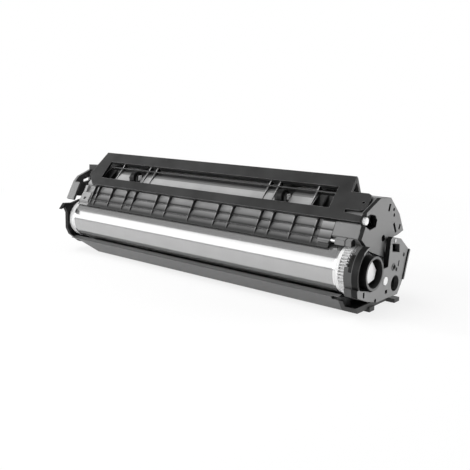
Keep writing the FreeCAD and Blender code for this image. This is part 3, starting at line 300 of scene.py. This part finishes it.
def axes_of(tree):
    """The surface point's place along the cartridge's X, Y and Z."""
    place = tree.nodes.new("ShaderNodeTexCoord")
    split = tree.nodes.new("ShaderNodeSeparateXYZ")
    tree.links.new(place.outputs["Object"], split.inputs[0])
    return split.outputs


def cover(material, mask, tone):
    """Another tone where a mask is."""
    tree = material.node_tree
    base = tree.nodes["Principled BSDF"].inputs["Base Color"]
    tree.links.new(mix(tree, mask, base.links[0].from_socket, grey(tone)), base)


def paint(material, tone, side=False, **spans):
    """Another tone inside a box given by its spans, or only on the sides in it."""
    tree = material.node_tree
    axes = axes_of(tree)
    masks = []
    if side:
        masks.append(tree.nodes["surface"].outputs["Side"])
    for axis, (low, high) in spans.items():
        masks.append(calculate(tree, "COMPARE", axes[axis], (low + high) / 2, (high - low) / 2))
    inside = masks[0]
    for mask in masks[1:]:
        inside = calculate(tree, "MULTIPLY", inside, mask)
    cover(material, inside, tone)


def dress(material, *names):
    """Give the named solids a finish."""
    for name in names:
        nodes[name].data.materials.clear()
        nodes[name].data.materials.append(material)


# The toner frame: one long grey moulding under the drum, with the powder chamber, its rear cover,
# a plug pressed into the filling hole and the runners it stands on. Painted shade makes it black
# where it runs in under the drive end cap. Its edges carry a painted highlight and its sides
# painted shade.
cap_low, cap_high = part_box("drive_end_cap")
frame_grey = moulded("toner_frame_grey", dark=0.09, light=0.14, edge=0.3, side=0.02, rough=0.4)
paint(frame_grey, 0.006, X=(cap_low.x, cap_high.x))
dress(frame_grey, "toner_frame", "toner_frame_cover", "fill_plug")

# The waste bin: a lighter grey moulding over the drum, which takes the powder that the blade
# scrapes off. Its front is the ribbed panel of lapping rows. Each row is darker towards its lower
# edge, the lower rows most, and a line of painted shade runs along each row's lower edge. Its
# edges and the rib sides that look towards the drive end carry painted shade.
lowest_lap = 0.01297
lap_height = 0.00485
seam_share = 0.2
panel_front = 0.0035
panel_top = 0.0292
undarkened_height = 0.0275
darkest_height = 0.0125
panel_grey = moulded("panel_grey", dark=0.24, light=0.48, edge=0.05, side=0.012, rough=0.4, specular=0.3)
tree = panel_grey.node_tree
axes = axes_of(tree)
# Darker down each row and on the lower rows, with painted shade in a line at each row's foot.
laps_up = calculate(tree, "DIVIDE", calculate(tree, "SUBTRACT", axes["Z"], lowest_lap), lap_height)
up_the_lap = calculate(tree, "FRACT", laps_up)
darker_down_lap = ramp(tree, up_the_lap, 0, 1, at_start=0.7, at_end=0.05)
low_down = ramp(tree, axes["Z"], undarkened_height, darkest_height, at_start=0, at_end=0.6)
in_seam = calculate(tree, "LESS_THAN", up_the_lap, seam_share)
row_darkening = calculate(tree, "ADD", calculate(tree, "ADD", darker_down_lap, low_down), in_seam)
row_darkening = calculate(tree, "MINIMUM", row_darkening, 1)
in_front = calculate(tree, "LESS_THAN", axes["Y"], panel_front)
below_top = calculate(tree, "LESS_THAN", axes["Z"], panel_top)
on_panel = calculate(tree, "MULTIPLY", in_front, below_top)
cover(panel_grey, calculate(tree, "MULTIPLY", on_panel, row_darkening), 0.035)


def middle_of(name):
    """The middle of a solid's box."""
    low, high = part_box(name)
    return (low + high) / 2


def about(middle, half):
    """The span that reaches equally far to both sides of a place."""
    return (middle - half, middle + half)


# Painted shade darkens the surface seen through the window in three steps towards its back.
window_middle = middle_of("guide_wheel_axles")
step_depth = 0.004
for step_front, tone in ((0.0122, 0.16), (0.0138, 0.09), (0.0152, 0.04)):
    paint(panel_grey, tone, X=about(window_middle.x, 0.1115), Y=(step_front, step_front + step_depth),
          Z=(0.037, 0.0425))
# Painted shade makes the hollows at the window's two ends black.
hollow_reach = 0.1043
hollow_half = 0.0078
for end in (-1, 1):
    paint(panel_grey, 0.012, X=about(window_middle.x + end * hollow_reach, hollow_half), Z=(0.0305, 0.045))
# Painted shade makes the posts of the two guide wheels black too, but for a bright square where each
# axle ends in its post.
post_reach = 0.0048
skin = 0.0001
square_half = 0.0019
for wheel in ("guide_wheel_left", "guide_wheel_right"):
    wheel_x = middle_of(wheel).x
    paint(panel_grey, 0.012, X=about(wheel_x, post_reach + skin), Z=(0.0325, 0.045))
    paint(panel_grey, 0.8, side=True, X=about(wheel_x + post_reach, 2 * skin),
          Y=about(window_middle.y, square_half), Z=about(window_middle.z, square_half))
# The block with the square hole at the panel's idle end has one even tone, without the darkening
# or the painted shade.
bin_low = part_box("waste_bin")[0]
block_near = 0.0009
block_far = 0.0119
paint(panel_grey, 0.3, X=(bin_low.x + block_near, bin_low.x + block_far), Y=(bin_low.y, panel_front),
      Z=(bin_low.z, panel_top))
dress(panel_grey, "waste_bin")

# The idle side cover: the moulded end of the upper unit with its curved strap, with painted shade
# where it goes in under the window frame. Its edges and sides carry painted shade.
strap_low, strap_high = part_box("idle_side_cover")
strap_grey = moulded("strap_grey", dark=0.16, light=0.26, edge=0.05, side=0.06, rough=0.42, specular=0.3)
paint(strap_grey, 0.03, X=(strap_low.x + 2 * skin, strap_high.x + skin), Y=(0.0138, 0.0207),
      Z=(0.037, strap_high.z + skin))
dress(strap_grey, "idle_side_cover")

# The bin's rear lid: a long moulding that closes the bin and stands up behind the window frame.
# Its edges and sides carry painted shade.
lid_grey = moulded("lid_grey", dark=0.08, light=0.11, edge=0.05, side=0.05, rough=0.42)
dress(lid_grey, "waste_bin_lid")

# The drive side cover: a moulded cap on the end of the bin, with a light grey plate as its face.
# Painted shade makes the plate's rim, what shows through its slots and the socket of the white pin
# black, and darkens its edges.
cover_low, cover_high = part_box("drive_side_cover")
plate_front = cover_high.x - skin
plate_back = plate_front - 0.0025
plate_grey = moulded("plate_grey", dark=0.17, light=0.26, edge=0.05, side=0.23, rough=0.45, specular=0.2)
paint(plate_grey, 0.008, side=True, X=(cover_low.x, plate_back))
paint(plate_grey, 0.01, X=(plate_back, plate_front))
paint(plate_grey, 0.01, X=(-0.0095, plate_front), Y=(-0.0046, 0.0109), Z=(0.0249, 0.0345))
dress(plate_grey, "drive_side_cover")

# The drive end cap: the same light plate in front, with painted shade darkening the shroud and
# skirt behind it and blackening the collar round the drum's coupling. Its edges carry painted shade.
cap_face = cap_high.x - 0.00155
face_edge = 0.00002
collar_radius = 0.0108
collar_edge = 0.0001
cap_grey = moulded("end_cap_grey", dark=0.2, light=0.28, edge=0.05, side=0.25, rough=0.45, specular=0.2)
tree = cap_grey.node_tree
axes = axes_of(tree)
off_axis = tree.nodes.new("ShaderNodeCombineXYZ")
radius = tree.nodes.new("ShaderNodeVectorMath")
radius.operation = "LENGTH"
tree.links.new(axes["Y"], off_axis.inputs["Y"])
tree.links.new(axes["Z"], off_axis.inputs["Z"])
tree.links.new(off_axis.outputs[0], radius.inputs[0])
behind = ramp(tree, axes["X"], cap_face - face_edge, cap_face + face_edge, at_start=1, at_end=0)
within = ramp(tree, radius.outputs["Value"], collar_radius - collar_edge, collar_radius + collar_edge,
              at_start=1, at_end=0)
cover(cap_grey, behind, 0.09)
cover(cap_grey, within, 0.012)
# Painted shade blackens the plate's rim, the flank of the lip on its rear edge, the gap between the
# shroud's two rings, and the shroud's front. The collar's front is painted grey again.
paint(cap_grey, 0.008, X=(cap_face - 0.00405, cap_face), Y=(cap_low.y, 0.03))
paint(cap_grey, 0.008, X=(cap_face + skin, cap_face + 0.001), Y=(0.036, cap_high.y))
paint(cap_grey, 0.005, X=(-0.0082, -0.006), Y=(-0.02, -0.008), Z=(0.003, 0.0125))
paint(cap_grey, 0.02, side=True, X=about(cap_face, skin), Y=(cap_low.y, -0.0105), Z=(-0.0072, cap_high.z))
paint(cap_grey, 0.14, side=True, X=about(cap_high.x, skin))
dress(cap_grey, "drive_end_cap")

# The window frame: a dark moulded plate that lies sloped on top of the bin, with the long window
# in it and a tab at its drive end.
# Its edges carry a painted highlight.
frame_black = moulded("window_frame_black", dark=0.008, light=0.055, edge=0.3, side=0.01, rough=0.36,
                      specular=0.3)
dress(frame_black, "window_frame")

# The rail: a thin bar along the window, just below its upper edge, with slightly rounded corners.
rail_middle = (window_middle.x, 0.01544, 0.04226)
rail_slope = math.radians(46.9)
rail_size = (0.2216, 0.0009, 0.0012)
bpy.ops.object.select_all(action="DESELECT")
bpy.ops.mesh.primitive_cube_add(
    size=1, location=rail_middle, rotation=(rail_slope, 0, 0), scale=rail_size)
rail = bpy.context.object
rail.name = "window_rail"
bpy.ops.object.transform_apply(location=True, rotation=True, scale=True)
bpy.ops.object.mode_set(mode="EDIT")
bpy.ops.mesh.select_all(action="SELECT")
bpy.ops.mesh.bevel(offset=0.0002, segments=2)
bpy.ops.object.mode_set(mode="OBJECT")
bpy.ops.object.select_all(action="DESELECT")
rail.data.materials.append(frame_black)
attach(rail, "cartridge")

# The black pieces: the end cap beside the drum's idle end, the charge roller's sliding bearings,
# the developer roller's bound magnet and the two guide wheels.
# Their edges carry a painted highlight.
black = moulded("black_moulding", dark=0.006, light=0.01, edge=0.03, side=0.006, rough=0.38, specular=0.2)
dress(black, "idle_end_cap", "developer_magnet", "charge_bearing_drive", "charge_bearing_idle",
      "guide_wheel_left", "guide_wheel_right")

# The white pieces: flanges, gears, bushes, pins, the wheels' axles and the agitator, smooth as
# they came from a polished mould.
# Their edges carry painted shade.
white = moulded("white_moulding", dark=0.76, light=0.84, edge=0.25, side=0.84, rough=0.33, depth=0.08)
dress(white, "drum_drive_flange", "drum_idle_flange", "developer_gear", "agitator_gear", "agitator_shaft",
      "developer_bearing_drive", "developer_bearing_idle", "cap_locating_pin", "socket_pin",
      "guide_wheel_axles", "agitator_film")

# The drum: an aluminium tube turned to a mirror and dipped in a thin glossy coat, which stops
# just short of its ends. Faint rings from turning and polishing run round it.
tube_low, tube_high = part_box("drum_tube")
bare_end = 0.0011
coat_half = (tube_high.x - tube_low.x) / 2 - bare_end
coat_edge = 0.0001
coated = bpy.data.materials.new("drum_coat")
coated.use_nodes = True
tree = coated.node_tree
coat = tree.nodes["Principled BSDF"]
coat.inputs["Specular IOR Level"].default_value = 0.6
place = tree.nodes.new("ShaderNodeTexCoord")
along = axes_of(tree)["X"]
rings = tree.nodes.new("ShaderNodeTexNoise")
rings.noise_dimensions = "1D"
rings.inputs["Scale"].default_value = 900
rings.inputs["Detail"].default_value = 3
tree.links.new(along, rings.inputs["W"])
clouds = noise(tree, place.outputs["Object"], 60)
from_middle = calculate(tree, "ABSOLUTE", calculate(tree, "SUBTRACT", along, middle_of("drum_tube").x))
bare = ramp(tree, from_middle, coat_half - coat_edge, coat_half + coat_edge)
coat_tone = mix(tree, calculate(tree, "MULTIPLY", rings.outputs[0], clouds), grey(0.42), grey(0.54))
tree.links.new(mix(tree, bare, coat_tone, grey(0.82)), coat.inputs["Base Color"])
tree.links.new(ramp(tree, rings.outputs[0], 0, 1, at_start=0.1, at_end=0.2), coat.inputs["Roughness"])
tree.links.new(ramp(tree, bare, 0, 1, at_start=0.75, at_end=1), coat.inputs["Metallic"])
dress(coated, "drum_tube")


# The bright metal: pressed strips, turned pins and shafts of zinc-plated steel with fine marks
# along their length, and the bead-blasted aluminium sleeve of the developer roller.
def plated(name, dark, light, smooth, rough, marks):
    """A bare metal whose tone and sheen change along marks stretched by the given scale."""
    material = bpy.data.materials.new(name)
    material.use_nodes = True
    tree = material.node_tree
    metal = tree.nodes["Principled BSDF"]
    metal.inputs["Metallic"].default_value = 1
    place = tree.nodes.new("ShaderNodeTexCoord")
    stretch = tree.nodes.new("ShaderNodeMapping")
    stretch.inputs["Scale"].default_value = marks
    tree.links.new(place.outputs["Object"], stretch.inputs["Vector"])
    drawn = noise(tree, stretch.outputs[0], 900, detail=4)
    tree.links.new(mix(tree, drawn, grey(dark), grey(light)), metal.inputs["Base Color"])
    tree.links.new(ramp(tree, drawn, 0, 1, at_start=smooth, at_end=rough), metal.inputs["Roughness"])
    return material


zinc = plated("zinc_plate", dark=0.5, light=0.68, smooth=0.18, rough=0.32, marks=(0.15, 1, 1))
dress(zinc, "drum_axle_pin", "doctor_blade_bracket", "doctor_blade", "cleaning_blade_bracket",
      "charge_roller_core", "end_cap_screws", "stub_shaft", "unit_pins")
blasted = plated("blasted_sleeve", dark=0.3, light=0.4, smooth=0.4, rough=0.55, marks=(1, 1, 1))
dress(blasted, "developer_sleeve")

# The soft pieces: the charge roller's black rubber, the cleaning blade's cast rubber strip and
# the felt that seals the drum's two ends.
# The rubbers' edges carry a painted highlight.
rubber = moulded("black_rubber", dark=0.012, light=0.02, edge=0.03, side=0.02, rough=0.55, depth=0.1)
dress(rubber, "charge_roller_sleeve")
amber = moulded("blade_rubber", dark=0.3, light=0.36, edge=0.4, side=0.3, rough=0.35, depth=0.05)
dress(amber, "cleaning_blade")
felt = moulded("seal_felt", dark=0.03, light=0.07, edge=0.07, side=0.05, rough=0.9, specular=0.1, depth=1)
felt.node_tree.nodes["Principled BSDF"].inputs["Sheen Weight"].default_value = 0.4
dress(felt, "drum_seal_drive", "drum_seal_idle")
